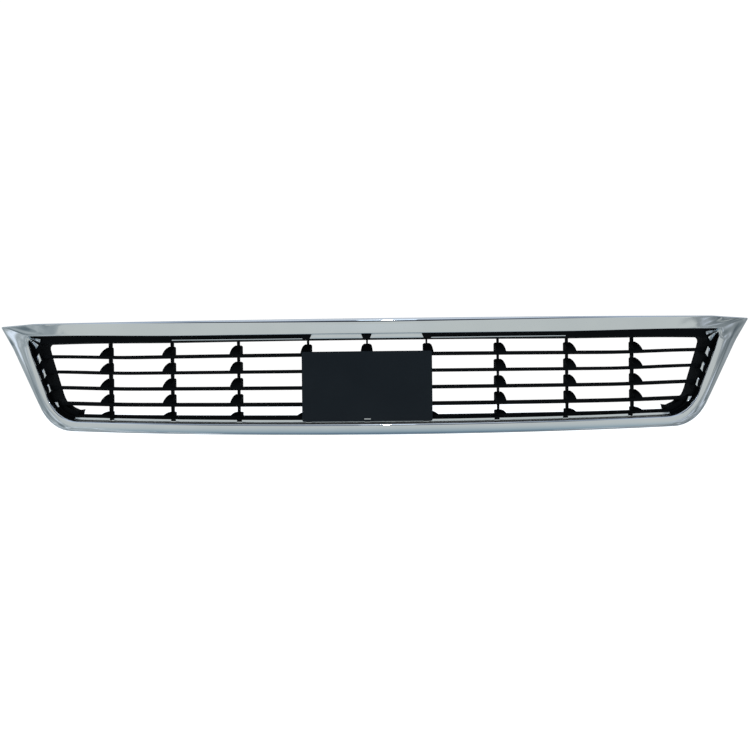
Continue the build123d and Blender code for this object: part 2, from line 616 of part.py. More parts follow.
def upper_clip_nuts():
    """Folded clip nuts on the outer upper tabs, each with a thread barrel."""
    nuts = Part()
    for side in SIDES:
        x = side * UPPER_OUTER_X
        y = face_y(x, OUTER_RETURN) + TAB_REACH - TAB_EDGE
        low = top_z(x) - TAB_INSET - TAB_WALL - CLIP_GAP - NUT_SHEET
        barrel = Pos(x, y, low - NUT_BARREL / 2) * Cylinder(NUT_HOLE_RADIUS + NUT_BARREL_WALL, NUT_BARREL)
        nut = folded_clip(x, True) + barrel
        nuts += nut - Pos(x, y, low) * Cylinder(NUT_HOLE_RADIUS, REACH / 4)
    return nuts


def lower_spring_clips():
    """Spring clips on the outer lower tabs, each with two barbs that bite the bumper's slot."""
    clips = Part()
    for side in SIDES:
        x = side * LOWER_OUTER_X
        back = face_y(x, OUTER_RETURN) + TAB_REACH + CLIP_GAP + NUT_SHEET
        high = bottom_z(x) + TAB_INSET + TAB_WALL + CLIP_GAP + NUT_SHEET
        points = [(back - inward, high + rise) for inward, rise in BARB]
        side_view = Plane.YZ * make_face(Polyline(*points, close=True))
        clips += folded_clip(x, False)
        for shift in (-BARB_X, BARB_X):
            clips += Pos(x + shift, 0, 0) * extrude(side_view, BARB_HALF, both=True)
    return clips


def seal_strip(upper):
    """Foam strip along the duct's roof or floor, which closes the gap to the bumper."""
    if upper:
        low = ROOF_Z + DUCT_WALL + SEAT_GAP
    else:
        low = LAST_SLAT_Z - DUCT_WALL - SEAT_GAP - SEAL_HEIGHT
    z = ROOF_Z if upper else LAST_SLAT_Z
    end = OPENING_X0 + z * tan(radians(OPENING_LEAN)) - SEAL_END_IN
    strip = swept(SEAL_SETBACK, SEAL_SETBACK + SEAL_DEPTH, low, low + SEAL_HEIGHT)
    return strip & prism(rectangle(-end, end, low - BITE, low + SEAL_HEIGHT + BITE))


def write(name, shape):
    """Write one node and say how many solids it holds."""
    print(name, len(shape.solids()), round(shape.volume))
    export_step(shape, f"parts/{name}.step")


os.makedirs("parts", exist_ok=True)
write("chrome_surround", chrome_surround())
write("louvre_insert", louvre_insert())
write("centre_cover", centre_cover())
write("cover_grommets", cover_grommets())
for run in ("top", "bottom", "left", "right"):
    write(f"insert_screws_{run}", insert_screws(run))
for side, hand in zip(SIDES, ("left", "right")):
    write(f"end_bracket_{hand}", end_bracket(side))
    write(f"bracket_screws_{hand}", bracket_screws(side))
    write(f"bracket_nut_{hand}", bracket_nut(side))
write("upper_clip_nuts", upper_clip_nuts())
write("lower_spring_clips", lower_spring_clips())
write("upper_seal_strip", seal_strip(True))
write("lower_seal_strip", seal_strip(False))
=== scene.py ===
# %% [markdown]
# # Front lower grille of a car
# The real object is a plated plastic surround, a black louvre insert screwed into it from behind, and
# a small satin cover that snaps over the middle louvres. The CAD model is the fixed frame: this lesson
# dresses it, and every new piece stands exactly where its CAD node stood.

import json
import math

import bmesh
import bpy
from mathutils import Matrix, Vector


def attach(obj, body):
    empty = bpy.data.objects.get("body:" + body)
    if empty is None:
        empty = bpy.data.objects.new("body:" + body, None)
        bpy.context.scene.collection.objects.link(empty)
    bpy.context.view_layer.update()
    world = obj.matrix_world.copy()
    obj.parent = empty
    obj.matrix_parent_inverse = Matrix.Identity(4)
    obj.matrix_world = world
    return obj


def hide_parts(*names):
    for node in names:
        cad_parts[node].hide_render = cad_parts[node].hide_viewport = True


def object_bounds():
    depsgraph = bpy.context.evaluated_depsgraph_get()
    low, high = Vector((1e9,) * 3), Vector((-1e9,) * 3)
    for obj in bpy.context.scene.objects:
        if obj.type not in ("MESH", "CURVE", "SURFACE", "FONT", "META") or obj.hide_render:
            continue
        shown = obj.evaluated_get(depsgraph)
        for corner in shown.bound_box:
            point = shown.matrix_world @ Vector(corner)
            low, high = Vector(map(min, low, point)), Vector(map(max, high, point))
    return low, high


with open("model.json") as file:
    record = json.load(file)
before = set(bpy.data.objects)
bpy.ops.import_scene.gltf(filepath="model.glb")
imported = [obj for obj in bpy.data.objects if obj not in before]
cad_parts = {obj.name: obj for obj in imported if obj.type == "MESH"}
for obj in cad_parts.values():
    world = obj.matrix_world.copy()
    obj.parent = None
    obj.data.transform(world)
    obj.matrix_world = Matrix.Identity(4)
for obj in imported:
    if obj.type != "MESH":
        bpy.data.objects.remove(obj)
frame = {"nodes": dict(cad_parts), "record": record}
cad_low, cad_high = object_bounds()
print("CAD box in metres:", [round(v, 4) for v in (*cad_low, *cad_high)])

# %% [markdown]
# ## Sizes
# All sizes below are millimetres, as a drawing would give them, and only the last step turns them into
# metres. The visible face is bent in plan about a far upright axis, so depth is a set-back: how far a
# surface lies behind the plated face.

# %% Driving sizes
MM = 0.001
PLAN_RADIUS = 1276.0
FRONT_Y = cad_low.y / MM
AXIS_Y = FRONT_Y + PLAN_RADIUS
TOP_BOW, BOTTOM_BOW = 4.6, 3.0
SHOULDER_X, SIDE_X, TIP_X = 500.0, 513.0, 563.0
INNER_FOOT, OPENING_FOOT = 487.0, 478.0
TOP_Z, LOW_Z = 80.25, -77.25
BAR, BAND = 20.9, 15.2
INNER_LEAN, OPENING_LEAN = math.tan(math.radians(24.5)), math.tan(math.radians(20.0))
ROOF_Z, FLOOR_Z = 47.95, -57.55
SLAT_Z = (27.75, 5.217, -17.317, -39.85, FLOOR_Z)
RIB_X = (0.0, 81.0, 179.17, 277.33, 375.5)
ALL_RIBS = sorted({side * x for x in RIB_X for side in (-1, 1)})
KEY_SHARE = 0.976            # a key or foot stands this much nearer to the middle than its rib
PRY_Z = -59.25
STUD_X, STUD_ROWS = 55.0, ((0, 1), (3, 4))
COVER_FRONT, COVER_BACK = 3.8, 6.8
LIP_FRONT, LIP_BACK = 7.5, 10.0
FLANGE_FRONT, FLANGE_BACK = 10.1, 12.6
SHELL_BACK, WALL_BACK = 22.0, 44.6
BLADE_FRONT, BLADE_BACK, BLADE_HALF = 12.0, 34.0, 2.4
print("slats", len(SLAT_Z), "ribs", len(ALL_RIBS))

# %% [markdown]
# ## Flat first, bent last
# Moulded parts like these are easiest to draw flat: X along the width, Y as the set-back and Z up.
# Long pieces are then cut across every few millimetres, and the bend moves each point onto the sweep.

# %% Bend, slice and finish helpers
def face_y(x, setback=0.0):
    """Y of the swept surface that lies this far behind the plated face, at x."""
    return AXIS_Y - math.sqrt((PLAN_RADIUS - setback) ** 2 - x * x)


def bow(x, z):
    """How far the bowed top and bottom edges dip at x, shared out between them by height."""
    top = -TOP_BOW * max(0.0, 1 - (x / SHOULDER_X) ** 2)
    low = -BOTTOM_BOW * max(0.0, 1 - (x / SIDE_X) ** 2)
    share = min(1.0, max(0.0, (z + 50.0) / 95.0))
    return top * share + low * (1 - share)


def fade(value, start, end):
    """0 before start, 1 after end, smooth between."""
    t = min(1.0, max(0.0, (value - start) / (end - start)))
    return t * t * (3 - 2 * t)


def raised(outline):
    """The top run of an outline, lifted a little towards its ends, where the bar gets narrower."""
    return [Vector((p.x, p.y + 2.2 * fade(abs(p.x), 250, 450) * fade(p.y, 30, 50))) for p in outline]


def bend(bm, bowed=False):
    """Carry a flat piece onto the sweep."""
    for v in bm.verts:
        x, setback, z = v.co
        v.co = (x, face_y(x, setback), z + (bow(x, z) if bowed else 0.0))


def slice_across(bm, step=8.0):
    """Cut a flat piece at regular X so that it can bend."""
    low, high = min(v.co.x for v in bm.verts), max(v.co.x for v in bm.verts)
    for i in range(1, int((high - low) / step)):
        geom = bm.verts[:] + bm.edges[:] + bm.faces[:]
        bmesh.ops.bisect_plane(bm, geom=geom, plane_co=(low + i * step, 0, 0), plane_no=(1, 0, 0))


def box(bm, x, y, z, bevel=0.5, segments=2):
    """A block between limits with softened edges; gives back its vertices."""
    size = [b - a for a, b in (x, y, z)]
    middle = Vector([(a + b) / 2 for a, b in (x, y, z)])
    made = bmesh.ops.create_cube(bm, size=1.0, matrix=Matrix.LocRotScale(middle, None, size))
    edges = list({e for v in made["verts"] for e in v.link_edges})
    soft = bmesh.ops.bevel(bm, geom=edges, offset=bevel, offset_type="OFFSET", segments=segments,
                           profile=0.5, affect="EDGES", material=-1)
    return list({v for v in soft["verts"]} | {v for f in soft["faces"] for v in f.verts})


def rod(bm, x, z, radius, start, end, rim=0.4, sides=24):
    """A round bar along Y between two Y values, with a softened far rim."""
    place = Matrix.Translation((x, (start + end) / 2, z)) @ Matrix.Rotation(math.pi / 2, 4, "X")
    made = bmesh.ops.create_cone(bm, cap_ends=True, segments=sides, radius1=radius, radius2=radius,
                                 depth=end - start, matrix=place)
    rims = [e for v in made["verts"] for e in v.link_edges if abs(e.verts[0].co.y - e.verts[1].co.y) < 0.01]
    bmesh.ops.bevel(bm, geom=list(set(rims)), offset=rim, offset_type="OFFSET", segments=2, profile=0.5,
                    affect="EDGES", material=-1)


def join(parts):
    """Gather several part meshes into one."""
    whole = bmesh.new()
    for part in parts:
        spare = bpy.data.meshes.new("spare")
        part.to_mesh(spare)
        part.free()
        whole.from_mesh(spare)
        bpy.data.meshes.remove(spare)
    return whole


def piece(name, bm, body, node, sharp=32.0):
    """Close a mesh up, scale it to metres, hand it to its body and hide the CAD node it replaces."""
    bmesh.ops.remove_doubles(bm, verts=bm.verts[:], dist=0.01)
    bmesh.ops.dissolve_degenerate(bm, edges=bm.edges[:], dist=0.005)
    bmesh.ops.recalc_face_normals(bm, faces=bm.faces[:])
    bmesh.ops.scale(bm, vec=(MM, MM, MM), verts=bm.verts[:])
    mesh = bpy.data.meshes.new(name)
    bm.to_mesh(mesh)
    bm.free()
    mesh.polygons.foreach_set("use_smooth", [True] * len(mesh.polygons))
    mesh.set_sharp_from_angle(angle=math.radians(sharp))
    made = bpy.data.objects.new(name, mesh)
    bpy.context.scene.collection.objects.link(made)
    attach(made, body)
    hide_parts(node)
    print(name, len(mesh.vertices), "vertices")
    return made


# %% [markdown]
# ## Outlines
# The surround, the flange and the duct are all rings of the same kind: a trapezium with rounded
# corners. Each is given by five corners of its right half, and walked with the same number of steps,
# so that any two of them can be skinned together with clean four-sided faces.

# %% Walk a rounded outline
STEPS = (60, 14, 10, 24, 60)
ARC_STEPS = 9


def half_outline(corners):
    """Points of a right half: straight runs between corners that are rounded by their radius."""
    points = [Vector(corners[0][:2])]
    for i, (x, z, radius) in enumerate(corners[1:-1], 1):
        here, before, after = Vector((x, z)), Vector(corners[i - 1][:2]), Vector(corners[i + 1][:2])
        into, out = (before - here).normalized(), (after - here).normalized()
        half = into.angle(out) / 2
        reach = radius / math.tan(half) if half < math.pi / 2 - 0.001 else 1.0
        start, end = here + into * reach, here + out * reach
        points += [points[-1].lerp(start, k / STEPS[i - 1]) for k in range(1, STEPS[i - 1])]
        bent = (into + out).length > 0.01
        centre = here + (into + out).normalized() * (radius / math.sin(half)) if bent else None
        for k in range(ARC_STEPS):
            t = k / (ARC_STEPS - 1)
            spot = start.lerp(end, t)
            if centre is not None:
                spot = centre + (spot - centre).normalized() * radius
            points.append(spot)
    last = Vector(corners[-1][:2])
    points += [points[-1].lerp(last, k / STEPS[-1]) for k in range(1, STEPS[-1] + 1)]
    return points


def ring(corners):
    """Closed outline from a right half and its mirror."""
    right = half_outline(corners)
    return right + [Vector((-p.x, p.y)) for p in right[-2:0:-1]]


def outer_edge(inset=0.0):
    """Outer edge of the surround, moved in by inset."""
    side, flare = math.tan(math.radians(30)), math.tan(math.radians(36.2))
    foot, flare_foot = SIDE_X - inset * 1.155, TIP_X - 77.75 * flare - inset * 1.239
    knee = (flare_foot - foot) / (side - flare)
    top, low, fall = TOP_Z - inset, LOW_Z + inset, 2.5 / 63
    tip_x = (flare_foot + flare * (top + fall * 500)) / (1 + flare * fall)
    tip = (tip_x, top + fall * 500 - fall * tip_x, max(0.4, 1.4 - inset))
    return ring([(0, top), (500, top, 60.0), tip, (foot + knee * side, knee, 120.0),
                 (foot + low * side, low, 60.0 - inset), (0, low)])


def inner_edge(out=0.0, clip=None):
    """Inner edge of the surround, moved out by out; clip stops it short of the tips."""
    foot, top, low = INNER_FOOT + out * 1.099, TOP_Z - BAR + out, LOW_Z + BAND - out
    corner_x = foot + top * INNER_LEAN
    knee = 40.0
    if clip:
        corner_x, knee = clip, (clip - foot) / INNER_LEAN
    corner = max(0.6, 5.0 + out) if not clip else 2.0
    return raised(ring([(0, top), (455, top, 60.0), (corner_x, top, corner),
                        (foot + knee * INNER_LEAN, knee, 60.0),
                        (foot + low * INNER_LEAN, low, 60.0 + out), (0, low)]))


def opening_edge(out=0.0):
    """Inside of the duct, moved out by out."""
    foot, top, low = OPENING_FOOT + out * 1.064, ROOF_Z + out, FLOOR_Z - out
    return raised(ring([(0, top), (430, top, 60.0), (foot + top * OPENING_LEAN, top, 5.0 + out),
                        (foot + 30 * OPENING_LEAN, 30.0, 60.0),
                        (foot + low * OPENING_LEAN, low, 50.0 + out), (0, low)]))


def skin(rows):
    """A sheet rolled into a closed ring: each row is a loop of (x, set-back, z)."""
    bm = bmesh.new()
    around, across = len(rows[0]), len(rows)
    bmesh.ops.create_grid(bm, x_segments=around, y_segments=across, size=1.0)
    for v in bm.verts:
        i, k = round((v.co.x + 1) / 2 * around) % around, round((v.co.y + 1) / 2 * across) % across
        v.co = rows[k][i]
    bmesh.ops.remove_doubles(bm, verts=bm.verts[:], dist=0.001)
    return bm


print("outline points", len(outer_edge()), len(inner_edge()), len(opening_edge()))

# %% [markdown]
# ## Plated surround
# The bright ring is one injection-moulded shell. Its top bar is nearly flat with a rolled rim, its
# side bands are slightly crowned, and its bottom band rolls under. A skin of about thirty loops
# follows that section all the way round, and the section's sizes fade from one side to the next.

# %% Section of the shell
def shares(outer, inner):
    """How much a station belongs to the top bar and to the bottom band."""
    z = (outer.y + inner.y) / 2
    return fade(z, 45, 66), 1 - fade(z, -66, -20)


def section(outer, inner):
    """Loop of (distance from the outer edge, set-back) pairs for the shell's front, at one station."""
    top, low = shares(outer, inner)
    width = (inner - outer).length
    mid_top = max(0.0, 1 - (outer.x / 500) ** 2)
    tip = fade(abs(outer.x), 515, 560)
    roll = 2.0 + 9.0 * low + (mid_top * 2.6 + 2.2) * top
    depth = (1.5 + 3.0 * low + (mid_top * 2.0 + 1.5) * top) * (1 - 0.6 * tip)
    edge = 1.5 + 2.3 * low - 0.5 * top
    lean, crown = 2.2 * top * (1 - 0.8 * tip), 0.8 * (1 - top) * (1 - low)
    pairs = []
    for k in range(9):
        a = math.radians(90 * k / 8)
        pairs.append((roll * (1 - math.cos(a)), lean + crown + depth * (1 - math.sin(a))))
    for k in range(1, 9):
        t = k / 8
        d = roll + (width - roll - edge) * t
        pairs.append((d, lean * (1 - t) + crown * (2 * t - 1) ** 2))
    for k in range(1, 7):
        a = math.radians(90 * k / 6)
        pairs.append((width - edge * (1 - math.sin(a)), crown + edge * (1 - math.cos(a))))
    return [(d / width, s) for d, s in pairs]


def shell():
    """The plated shell: front skin, return walls and the hollow behind it."""
    outer, inner = outer_edge(), inner_edge()
    sections = [section(o, i) for o, i in zip(outer, inner)]
    rows = [[(p.x, SHELL_BACK, p.y) for p in outer], [(p.x, 12.0, p.y) for p in outer]]
    for k in range(len(sections[0])):
        row = []
        for o, i, pairs in zip(outer, inner, sections):
            t, s = pairs[k]
            spot = o.lerp(i, t)
            row.append((spot.x, s, spot.y))
        rows.append(row)
    thick_in, thick_out = inner_edge(3.0), outer_edge(3.0)
    rows += [[(p.x, LIP_BACK, p.y) for p in inner], [(p.x, LIP_BACK, p.y) for p in thick_in]]
    rows += [[(p.x, 5.6, p.y) for p in thick_in]]
    rows += [[(p.x, 7.5, p.y) for p in thick_out], [(p.x, SHELL_BACK, p.y) for p in thick_out]]
    bm = skin(rows)
    bend(bm, bowed=True)
    return bm


# %% [markdown]
# ## Lip, hooks, bosses and tabs
# Behind the shell's inner edge runs a narrow lip that the insert keys into, and a tongue on it closes
# the cover's pry slot from behind. On each side three hooks snap through the insert, and a small pad
# stands below them. Two fingers fan out in each upper corner. Screw bosses and drilled tabs stand out
# of sight at the back. They are plain blocks and bars, softened, placed flat and bent with the rest.

# %% Lip and hooks
def lip():
    """Lip under the louvres and over the cover, cut away where the insert's keys drop in."""
    bm = bmesh.new()
    last, key_gap, overrun = 418.0, 3.4, 10
    stops = [-last] + [x * KEY_SHARE for x in ALL_RIBS] + [last]
    for a, b in zip(stops, stops[1:]):
        start = a + (key_gap if a > -last else -overrun)
        end = b - (key_gap if b < last else -overrun)
        box(bm, (start, end), (LIP_FRONT, LIP_BACK), (LOW_Z + BAND + 1, LOW_Z + BAND + 5), 0.5)
    box(bm, (-430, 430), (LIP_FRONT, LIP_BACK), (LOW_Z + BAND - 1, LOW_Z + BAND + 2.4), 0.3)
    tongue_z = PRY_Z - bow(0, PRY_Z)
    box(bm, (-8, 8), (7.1, 8.4), (tongue_z - 3.0, tongue_z + 2.0), 0.3)
    under_bar = TOP_Z - BAR
    for a, b in ((-272, -86), (86, 272)):
        box(bm, (a, b), (8.2, LIP_BACK), (under_bar - 6.2, under_bar - 5.0), 0.3)
    for a, b in zip(ALL_RIBS[3:6], ALL_RIBS[4:6]):
        verts = box(bm, (a + 7, b - 7), (LIP_FRONT, LIP_BACK), (under_bar - 5.8, under_bar + 1), 0.5)
        for v in verts:
            slant = (under_bar - v.co.z) / 5 * 2.2
            v.co.x += slant if v.co.x > (a + b) / 2 else -slant
    slice_across(bm, 12.0)
    bend(bm, bowed=True)
    return bm


def hooks():
    """Snap hooks on each side band's inner edge: a slanted finger in front, and a nib behind the flange."""
    bm = bmesh.new()
    for side in (-1, 1):
        for z in SLAT_Z[:4]:
            is_hook = z > -30
            reach, half = 8.4 + 0.08 * z, 5.2 if is_hook else 3.6
            verts = box(bm, (-reach, 0.6), (7.4, 9.8), (-half, half), 0.4)
            if is_hook:
                for v in verts:
                    v.co.z += 1.2 - 0.8 * (v.co.x + reach - 2.5)
                verts += box(bm, (-3.4, 0.6), (9.0, 15.4), (-4.5, 4.5), 0.5)
                verts += box(bm, (-3.4, 2.0), (13.0, 15.4), (-4.5, 4.5), 0.5)
            for v in set(verts):
                v.co.x = side * (v.co.x + (INNER_FOOT if is_hook else 481.2) + (v.co.z + z) * INNER_LEAN)
                v.co.z += z
    bend(bm)
    return bm


def corner_ties():
    """Two flat fingers that fan out from each upper inner corner."""
    bm = bmesh.new()
    corner = Vector((514.5, 60.8))
    for side in (-1, 1):
        for turn, length, wide in ((14.0, 25.0, 2.4), (38.0, 24.0, 3.4)):
            verts = box(bm, (0, length), (7.6, 9.8), (-0.5, 0.5), 0.2, 1)
            for v in verts:
                v.co.z *= 1 + (2 * wide - 1) * v.co.x / length
                along, up = v.co.x, v.co.z
                a = math.radians(turn)
                v.co.x = side * (corner.x - along * math.cos(a) - up * math.sin(a))
                v.co.z = corner.y - along * math.sin(a) + up * math.cos(a)
    bend(bm)
    return bm


# %% Bosses and tabs
def screw_places():
    """X and Z of the insert's screws along the top, the bottom and both sides."""
    bays, beside = [(a + b) / 2 for a, b in zip(RIB_X, RIB_X[1:])], 6.6
    places = [(x, TOP_Z - BAR + beside + bow(x, 60)) for x in bays + [424.0]]
    places += [(x, LOW_Z + BAND - beside + bow(x, -60)) for x in bays]
    for upper, lower in ((0, 1), (2, 3)):
        z = (SLAT_Z[upper] + SLAT_Z[lower]) / 2
        places.append((INNER_FOOT + z * INNER_LEAN + beside * 1.099, z))
    return [(side * x, z) for x, z in places for side in (-1, 1)]


def turned(bm, x):
    """Turn what was built at X = 0 about the plan axis until it stands at x."""
    angle = math.asin(x / (PLAN_RADIUS - 10.0))
    bmesh.ops.rotate(bm, cent=(0, AXIS_Y, 0), matrix=Matrix.Rotation(angle, 3, "Z"), verts=bm.verts[:])
    return bm


def bosses():
    """A round boss round every screw, and two longer ones behind each tip."""
    parts = []
    for x, z in screw_places():
        bm = bmesh.new()
        rod(bm, 0, z, 3.4, FRONT_Y + 4.0, FRONT_Y + 10.0)
        parts.append(turned(bm, x))
    bm = bmesh.new()
    for side in (-1, 1):
        for x in (522.0, 539.0):
            rod(bm, side * x, 66.75, 3.4, face_y(x, 4.0), 66.3)
    return join(parts + [bm])


def drilled_tab(x, z, hole):
    """Flat tab with a round hole: a ring of faces between circle and rectangle, then thickened."""
    bm = bmesh.new()
    end = face_y(x, 22.0) + 26.0
    middle = Vector((x, end - 11.0, z))
    made = bmesh.ops.create_circle(bm, segments=48, radius=hole, matrix=Matrix.Translation(middle))
    loop = list({e for v in made["verts"] for e in v.link_edges})
    rim = bmesh.ops.extrude_edge_only(bm, edges=loop)["geom"]
    front = face_y(x, 17.0) - middle.y
    for v in (g for g in rim if isinstance(g, bmesh.types.BMVert)):
        way = (v.co - middle).normalized()
        reach = min(13.0 / max(abs(way.x), 1e-6), (11.0 if way.y > 0 else -front) / max(abs(way.y), 1e-6))
        spot = way * min(reach, 15.4 if way.y > 0 else 99.0)
        v.co = middle + spot
    top = bmesh.ops.extrude_face_region(bm, geom=bm.faces[:])["geom"]
    bmesh.ops.translate(bm, vec=(0, 0, 3.0), verts=[g for g in top if isinstance(g, bmesh.types.BMVert)])
    rims = [e for e in bm.edges if len(e.link_faces) == 2 and e.calc_face_angle() > 1.2]
    bmesh.ops.bevel(bm, geom=rims, offset=0.3, offset_type="OFFSET", segments=1, profile=0.5,
                    affect="EDGES", material=-1)
    return bm


def tabs():
    """Eight fixing tabs; the outer lower pair has no hole, because a spring clip covers it."""
    parts, across, thick = [], 13, 3
    for side in (-1, 1):
        for x in (130.0, 390.0):
            parts.append(drilled_tab(side * x, TOP_Z + bow(x, 80) - 5.0, 4.0))
        parts.append(drilled_tab(side * 100.0, LOW_Z + bow(100, -77) + 2.0, 4.0))
        plain = bmesh.new()
        low = LOW_Z + bow(300, -77) + 2.0
        box(plain, (side * 300 - across, side * 300 + across),
            (face_y(300, 17), face_y(300, SHELL_BACK) + 26), (low, low + thick), 0.4)
        parts.append(plain)
    return join(parts)


surround = piece("plated_surround", join([shell(), lip(), hooks(), corner_ties(), bosses(), tabs()]),
                 "grille", "chrome_surround", sharp=38.0)

# %% [markdown]
# ## Louvre insert
# The black lattice is also one moulding. A flange lies against the back of the surround, duct walls
# run back from it, and thin louvres and upright ribs fill the opening. The flange and duct share one
# L-shaped ring; each louvre is a long softened blade that is bent with the sweep.

# %% Flange and duct
def duct():
    """Flange, black liner and duct walls as one ring; the liner is a painted dark reflection: a thin black
    upstand just inside the surround's inner edge, giving the dark line that the plated return wall shows by
    mirroring the black insert.
    """
    mouth, wall, flange = opening_edge(), opening_edge(2.5), inner_edge(10.5, clip=517.0)
    flange = [Vector((p.x, p.y + bow(p.x, p.y))) for p in flange]
    soft = opening_edge(0.7)
    # Painted dark reflection: this black liner ring stands just inside the surround's inner edge for the
    # dark line the plated return wall mirrors; its front stands 5.2 mm back at the sides and bottom and
    # sinks to the flange along the top.
    dark_liner_out, dark_liner_in = [[Vector((p.x, p.y + bow(p.x, p.y))) for p in inner_edge(-d)] for d in (0.25, 1.35)]
    dark_liner_front = [(5.2 + 4.8 * fade(p.y, 30, 52)) for p in dark_liner_out]
    rows = [[(p.x, FLANGE_BACK, p.y) for p in flange], [(p.x, FLANGE_FRONT, p.y) for p in flange]]
    rows += [[(p.x, FLANGE_FRONT, p.y) for p in dark_liner_out], [(p.x, s, p.y) for p, s in zip(dark_liner_out, dark_liner_front)]]
    rows += [[(p.x, s, p.y) for p, s in zip(dark_liner_in, dark_liner_front)], [(p.x, FLANGE_FRONT, p.y) for p in dark_liner_in]]
    rows += [[(p.x, s, p.y) for p in outline] for outline, s in (
        (soft, FLANGE_FRONT), (mouth, FLANGE_FRONT + 0.7), (mouth, 27.0), (mouth, WALL_BACK),
        (wall, WALL_BACK), (wall, FLANGE_BACK))]
    bm = skin(rows)
    bend(bm)
    return bm


def opening_x(z):
    """X of the duct's right wall at height z."""
    right = [p for p in opening_edge(1.0) if p.x > 200]
    crossings = [a.lerp(b, (z - a.y) / (b.y - a.y)).x for a, b in zip(right, right[1:])
                 if min(a.y, b.y) <= z < max(a.y, b.y) and abs(a.y - b.y) > 1e-6]
    return max(crossings)


def lift(x, z):
    """The louvres rise a little towards their outer ends, the lower ones less."""
    return 3.5 * fade(abs(x), 330, 490) * min(1.0, (z + 80) / 90)


def louvres():
    """Five blades with softened edges."""
    parts = []
    for z in SLAT_Z:
        bm = bmesh.new()
        end = opening_x(z)
        box(bm, (-end, end), (BLADE_FRONT, BLADE_BACK), (z - BLADE_HALF, z + BLADE_HALF), 0.5, 2)
        slice_across(bm)
        for v in bm.verts:
            v.co.z += lift(v.co.x, z)
        bend(bm)
        parts.append(bm)
    return join(parts)


# %% [markdown]
# ## Ribs and shark fins
# Upright ribs tie the louvres together near their back edges. Where a rib crosses a louvre, a gusset
# shaped like a shark's fin braces it: it starts as a wide foot at the louvre's front edge and rises
# to the rib, and its inner side stays steep. A grid thickened into a block takes that shape when each
# of its slices gets its own height and width.

# %% Ribs, fins, keys and webs
def fin(bm, x, z, height, foot=8.4):
    """A gusset that rises from a louvre's front edge to its rib; foot is its outer half width in front."""
    made = bmesh.ops.create_grid(bm, x_segments=6, y_segments=12, size=0.5)
    faces = list({f for v in made["verts"] for f in v.link_faces})
    under = bmesh.ops.extrude_face_region(bm, geom=faces)["geom"]
    lower = {g for g in under if isinstance(g, bmesh.types.BMVert)}
    start = face_y(x, BLADE_FRONT)
    inner = min(5.1, 5.1 - 0.012 * (abs(x) - 179.0))
    for v in set(made["verts"]) | lower:
        t = v.co.y + 0.5
        rise = height * min(1.0, 1.08 * math.sin(math.pi / 2 * t) ** 0.75)
        half = inner if x * v.co.x < 0 else foot + (5.2 - foot) * t
        crown = 1 - (2 * abs(v.co.x)) ** 8 * 0.12
        top = 2.1 + rise * crown
        across = x * (1 + 0.007 * (1 - t)) + 2 * v.co.x * half
        v.co = (across, start + 20.0 * t, z + lift(x, z) + (0.0 if v in lower else top))


def uprights():
    """Ribs with their fins, the key blocks over the cover, the feet and the stud webs."""
    bm = bmesh.new()
    key_top, key_deep = FLOOR_Z - 4.3, (7.5, FLANGE_BACK)
    for x in ALL_RIBS:
        back = face_y(x, BLADE_FRONT) + 21.0
        box(bm, (x - 1.1, x + 1.1), (back - 12.0, back), (FLOOR_Z, ROOF_Z + 1), 0.4)
        for z in SLAT_Z[:-1]:
            fin(bm, x, z, 12.53, foot=5.4 if 0 < abs(x) < 100 and z < 20 else 8.4)
        fin(bm, x, FLOOR_Z, 5.5, foot=15.0 if 0 < abs(x) < 100 else 8.4)
        top = TOP_Z - BAR + bow(x, 60)
        key = x * KEY_SHARE
        box(bm, (key - 3, key + 3), [face_y(key, s) for s in key_deep], (key_top, FLOOR_Z), 0.4)
        if abs(x) < 100:
            verts = box(bm, (x - 5, x + 5), [face_y(x, s) for s in key_deep], (ROOF_Z, top - 0.4), 0.5)
            for v in verts:
                v.co.x += (v.co.x - x) * 0.5 * (v.co.z - ROOF_Z) / (top - ROOF_Z)
    for side in (-1, 1):
        for upper, lower in STUD_ROWS:
            y = face_y(STUD_X, 15.0)
            box(bm, (side * STUD_X - 8, side * STUD_X + 8), (y, y + 3), (SLAT_Z[lower], SLAT_Z[upper]), 0.4)
    return bm


def corner_webs():
    """Webs that close the duct's lower corners, each with a peak at its free end."""
    bm = bmesh.new()
    foot, deep_by = OPENING_FOOT + FLOOR_Z * OPENING_LEAN, 20.0
    shape = ((2.0, 0.0), (6.0, 26.0), (-14.0, 13.0), (-30.0, 7.0), (-33.0, 10.0), (-30.0, 0.0))
    for side in (-1, 1):
        verts = [bm.verts.new((side * (foot + out), 14.0, FLOOR_Z + up)) for out, up in shape]
        face = bm.faces.new(verts)
        deep = bmesh.ops.extrude_face_region(bm, geom=[face])["geom"]
        back = [g for g in deep if isinstance(g, bmesh.types.BMVert)]
        bmesh.ops.translate(bm, vec=(0, deep_by, 0), verts=back)
    bend(bm)
    return bm


insert = piece("louvre_insert_moulding", join([duct(), louvres(), uprights(), corner_webs()]), "grille",
               "louvre_insert", sharp=40.0)

# %% [markdown]
# ## Snap-in cover
# A thin satin plate hides the middle louvres. It is bent like the grille, has small round corners and a
# narrow pry slot near its lower edge, and four studs behind it press into nylon grommets. The plate
# starts as one block; the slot is cut through with four planes, and its two open rims are bridged.

